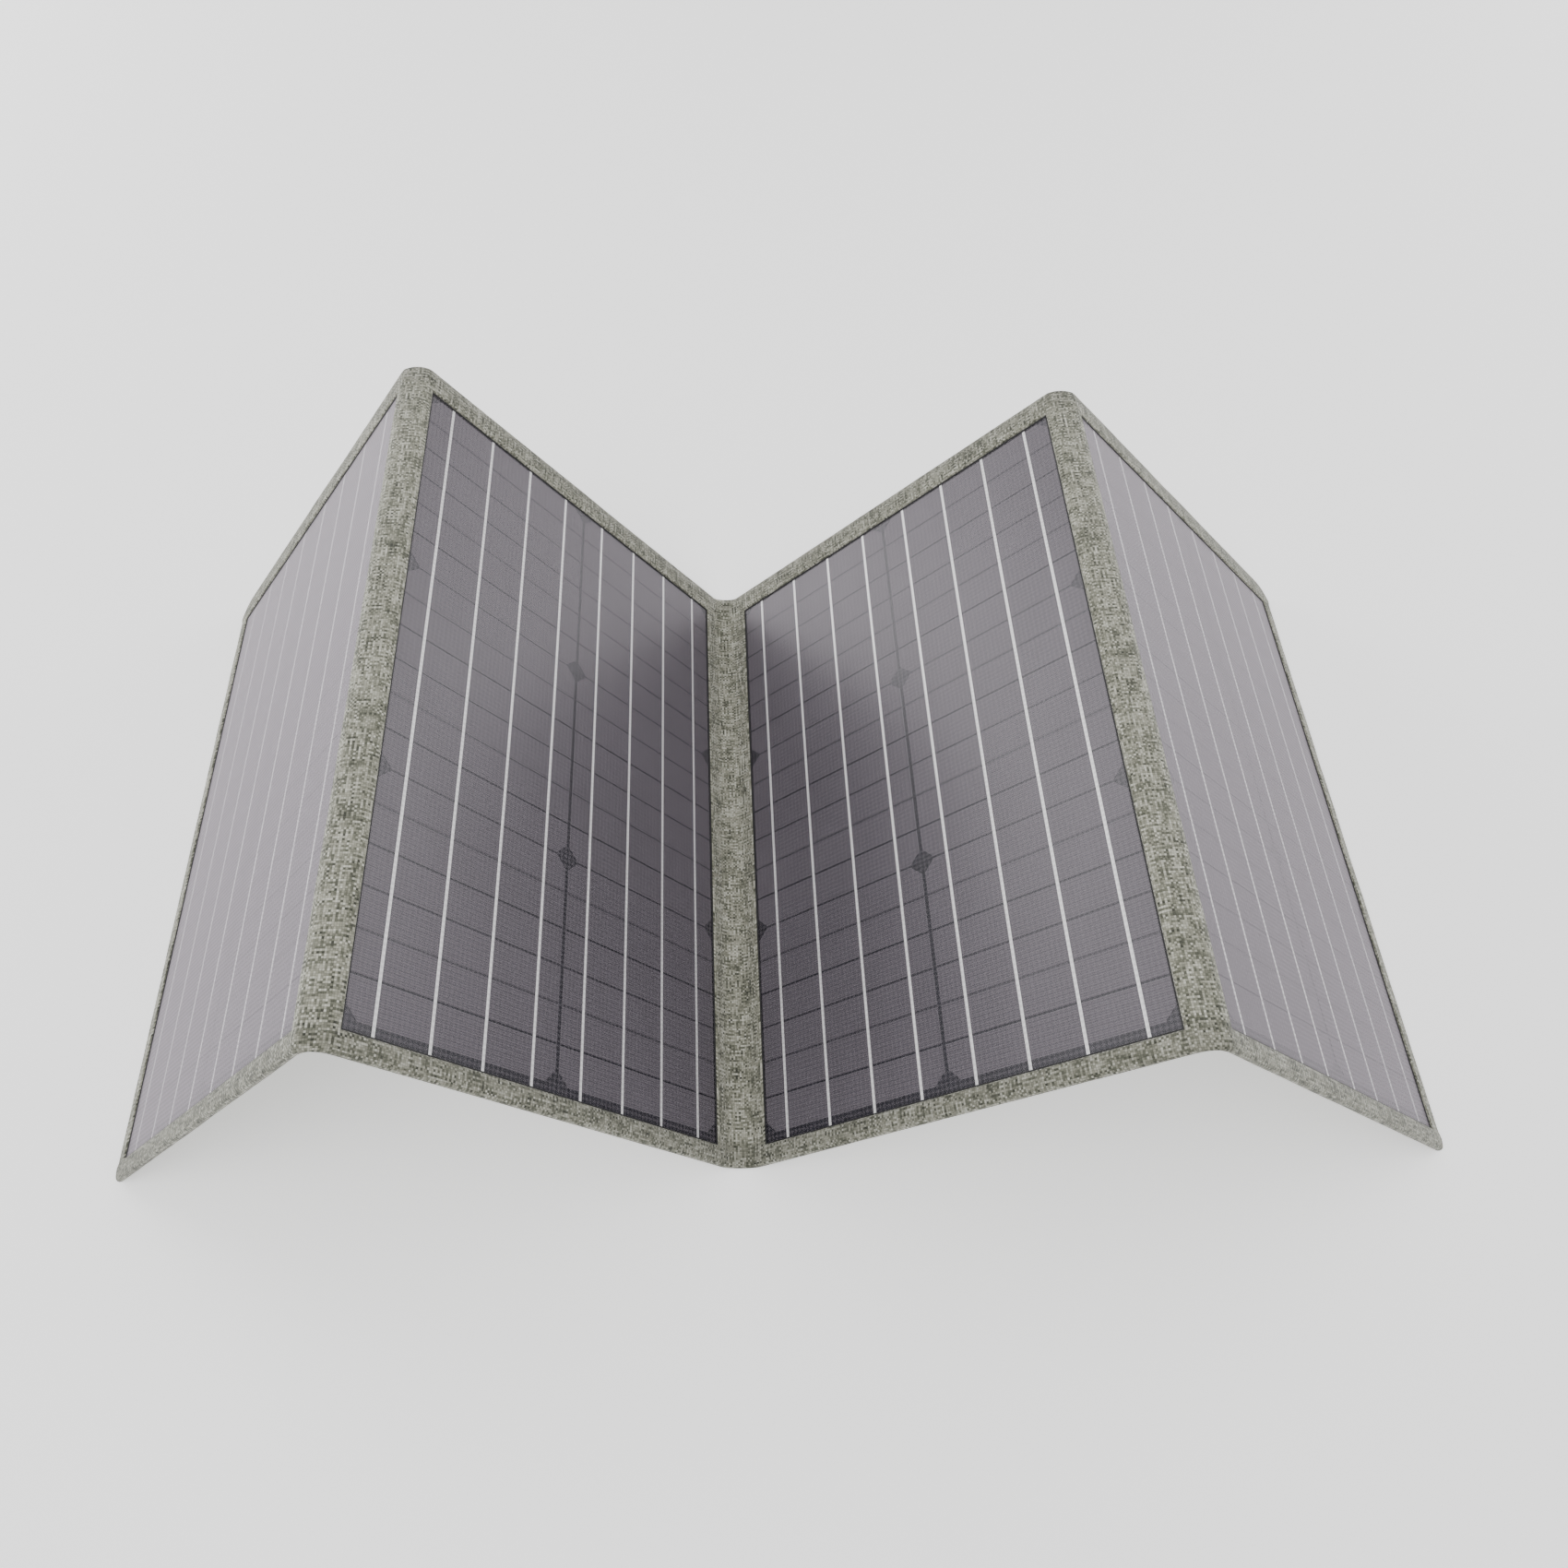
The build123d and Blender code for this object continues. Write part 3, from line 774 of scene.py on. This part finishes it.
def make_fold_half(name, board, axis, other_axis, start):
    """The cloth from a board's seam over one fold axis to the middle of the fold."""
    towards = 1 if axis.dot(board.axes[0]) > (board.left + board.right) / 2 else -1
    board_step = board.axes[0] * towards
    band_step = (other_axis - axis).normalized()
    band_out = band_step.cross(Vector((0, 1, 0))) * -1
    if band_out.dot(board.axes[2]) < 0:
        band_out = -band_out
    seam = axis - board_step * SEAM_BACK
    middle = (axis + other_axis) / 2
    seam_out = seam.dot(board.axes[2])
    ends = []
    levels = VALLEY_LEVELS if name.startswith("fold_23") else RIDGE_LEVELS
    sides = zip((board.top, board.bottom), levels, (FRONT_HANDLE, BACK_HANDLE))
    for out, level, handle in sides:
        first = seam + board.axes[2] * (out - seam_out)
        last = middle + band_out * level
        reach = (last - first).length * handle
        ends.append((first, first + board_step * reach, last - band_step * reach, last))
    shape = bmesh.new()
    uv = shape.loops.layers.uv.new("weave")
    rings, lengths, before = [], [], None
    total = start
    for i in range(FOLD_STEPS + 1):
        t = i / FOLD_STEPS
        front, back = [bezier(*end, t) for end in ends]
        if before:
            total += (front - before).length * (1 if towards > 0 else -1)
        before = front.copy()
        places = []
        profile = ring_profile(
            board.near, board.far, board.window_near, board.window_far, board.top, board.bottom
        )
        centre, half = (front + back) / 2, (front - back) / 2
        mid_out, half_out = (board.top + board.bottom) / 2, (board.top - board.bottom) / 2
        for along, out in profile:
            share = (out - mid_out) / half_out
            point = centre + half * share + Vector((0, along, 0))
            side = 1 if share > 0 else -1
            places.append(point + half.normalized() * side * wave(point))
        rings.append(add_ring(shape, places))
        lengths.append(total)
    join_rings(shape, rings, uv, lengths)
    piece = finish_piece(name, shape, [cloth])
    joint = next(j for j in frame["joints"] if (Vector(j["pos_m"]) - axis).length < SAME_PLACE)
    band = joint["child"] if joint["parent"] == board.body else joint["parent"]
    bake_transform(piece)
    return piece, band, total


def make_cloth():
    """All four boards' cloth and the folds between them, with the weave running on."""
    reach = make_board_cloth(boards[1], 0.0)
    folds = (
        (1, 2, "left_ridge_outer", "left_ridge_inner"),
        (2, 3, "valley_fold_left", "valley_fold_right"),
        (3, 4, "right_ridge_inner", "right_ridge_outer"),
    )
    for left, right, left_joint, right_joint in folds:
        a, b = joint_at[left_joint], joint_at[right_joint]
        first, band, reach = make_fold_half(f"fold_{left}{right}_left_cloth", boards[left], a, b, reach)
        second, _, back = make_fold_half(f"fold_{left}{right}_right_cloth", boards[right], b, a, 0.0)
        shift_weave(second, reach - back)
        reach -= back
        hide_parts(f"{band}_front_fabric")
        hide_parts(f"{band}_rear_fabric")
        reach = make_board_cloth(boards[right], reach)


def shift_weave(piece, distance):
    """Slide a piece's weave so that it runs on from the piece before it."""
    for loop in piece.data.uv_layers["weave"].data:
        loop.uv[0] += distance


def make_shadow_bead(board, shadow_black):
    """A dark bead along the window's edge, on the film: painted shadow where the cloth's lip shades the film.
    """
    shape = bmesh.new()
    loops = []
    for inward, height in SHADOW_BEAD:
        left, right = board.window_left + inward, board.window_right - inward
        near, far = board.window_near + inward, board.window_far - inward
        level = board.film + height
        places = [(a, near) for a in steps_between(left, right, SHADOW_BEAD_STEPS)]
        places += [(right, b) for b in steps_between(near, far, SHADOW_BEAD_STEPS)]
        places += [(a, far) for a in steps_between(right, left, SHADOW_BEAD_STEPS)]
        places += [(left, b) for b in steps_between(far, near, SHADOW_BEAD_STEPS)]
        loops.append([shape.verts.new(board.at(a, b, level)) for a, b in places])
    around = len(loops[0])
    for one, two in zip(loops, loops[1:] + loops[:1]):
        for i in range(around):
            k = (i + 1) % around
            shape.faces.new((one[i], one[k], two[k], two[i])).smooth = True
    piece = finish_piece(f"board_{board.number}_bead", shape, [shadow_black], board.body)


def seam_path(board):
    """(across, along) corners of the path of the stitches round a board's back, rounded at each turn."""
    left, right = board.left + STITCH_INSET, board.right - STITCH_INSET
    near, far = board.near + STITCH_INSET, board.far - STITCH_INSET
    corners = (
        (left, near, 1, 1, CORNER_NEAR),
        (right, near, -1, 1, CORNER_NEAR),
        (right, far, -1, -1, CORNER_FAR - STITCH_INSET if board.free_right else CORNER_NEAR),
        (left, far, 1, -1, CORNER_FAR - STITCH_INSET if board.free_left else CORNER_NEAR),
    )
    places = []
    for number, (across, along, inward, onward, radius) in enumerate(corners):
        centre = (across + inward * radius, along + onward * radius)
        for i in range(ROLL_STEPS + 1):
            angle = math.pi / 2 * (number + i / ROLL_STEPS)
            places.append((centre[0] - radius * math.cos(angle), centre[1] - radius * math.sin(angle)))
    return places + places[:1]


def places_along(path, spacing):
    """Evenly spaced (place, direction) pairs along a path of straight stretches."""
    found, gone = [], 0.0
    for a, b in zip(path, path[1:]):
        length = math.dist(a, b)
        if length < NO_LENGTH:
            continue
        direction = ((b[0] - a[0]) / length, (b[1] - a[1]) / length)
        while gone < length:
            found.append(((a[0] + direction[0] * gone, a[1] + direction[1] * gone), direction))
            gone += spacing
        gone -= length
    return found


def add_stitch(shape, board, place, direction):
    """One stitch: a short thread that comes out of the cloth and goes back in."""
    side = (-direction[1], direction[0])
    sections = []
    for share, level in STITCH_ARCH:
        ring = []
        for turn in range(STITCH_SIDES):
            angle = 2 * math.pi * turn / STITCH_SIDES
            offset = STITCH_WIDTH / 2 * math.cos(angle)
            rise = STITCH_WIDTH / 2 * (level - STITCH_SINK + STITCH_FLATNESS * math.sin(angle))
            across = place[0] + direction[0] * STITCH * share + side[0] * offset
            along = place[1] + direction[1] * STITCH * share + side[1] * offset
            on_cloth = board.at(across, along, board.bottom)
            ring.append(shape.verts.new(on_cloth - board.axes[2] * (rise + wave(on_cloth))))
        sections.append(ring)
    for one, two in zip(sections, sections[1:]):
        for i in range(STITCH_SIDES):
            k = (i + 1) % STITCH_SIDES
            shape.faces.new((one[i], one[k], two[k], two[i])).smooth = True
    for ring in (sections[0][::-1], sections[-1]):
        shape.faces.new(ring)


def make_stitches(board, thread):
    """The row of stitches round a board's back, through the seam that holds the stiffener in."""
    shape = bmesh.new()
    for place, direction in places_along(seam_path(board), STITCH + STITCH_GAP):
        add_stitch(shape, board, place, direction)
    piece = finish_piece(f"board_{board.number}_stitches", shape, [thread], board.body)


def make_film(board):
    """The clear film over the cells, seen through the window."""
    shape = bmesh.new()
    reach = LAMINATE_UNDER_CLOTH / 2
    corners = (
        (board.window_left - reach, board.window_near - reach),
        (board.window_right + reach, board.window_near - reach),
        (board.window_right + reach, board.window_far + reach),
        (board.window_left - reach, board.window_far + reach),
    )
    shape.faces.new([shape.verts.new(board.at(a, b, board.film)) for a, b in corners])
    bmesh.ops.subdivide_edges(shape, edges=shape.edges, cuts=FILM_CUTS, use_grid_fill=True)
    for v in shape.verts:
        v.co += board.axes[2] * FILM_WAVE_HEIGHT * noise.noise(v.co / FILM_WAVE_SIZE)
    for face in shape.faces:
        face.smooth = True
    piece = finish_piece(f"board_{board.number}_film", shape, [film_material(board.number)], board.body)
    if piece.data.polygons[0].normal.dot(board.axes[2]) < 0:
        piece.data.flip_normals()
    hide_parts(f"panel_{board.number}_cover_film", f"panel_{board.number}_encapsulant")


def paint(node, material):
    """Give a CAD node a material."""
    thing = nodes[node]
    if not thing.material_slots:
        thing.data.materials.append(material)
    for slot in thing.material_slots:
        slot.material = material


def paint_cad(plain):
    slots = {s["node"]: s["material_slot"] for s in frame["record"]["subparts"]}
    for node, slot in slots.items():
        if slot in plain:
            paint(node, plain[slot])
    for board in boards.values():
        paint(f"panel_{board.number}_cell_strips", cell_material(board.number))


make_camera()
make_light()
make_floor()
cloth = weave_material()
make_cloth()
plain_materials = make_plain_materials()
for each in boards.values():
    make_film(each)
    # painted shadow: a dark bead round each board's window
    make_shadow_bead(each, plain_materials["seal_rubber"])
    make_stitches(each, plain_materials["thread"])
paint_cad(plain_materials)
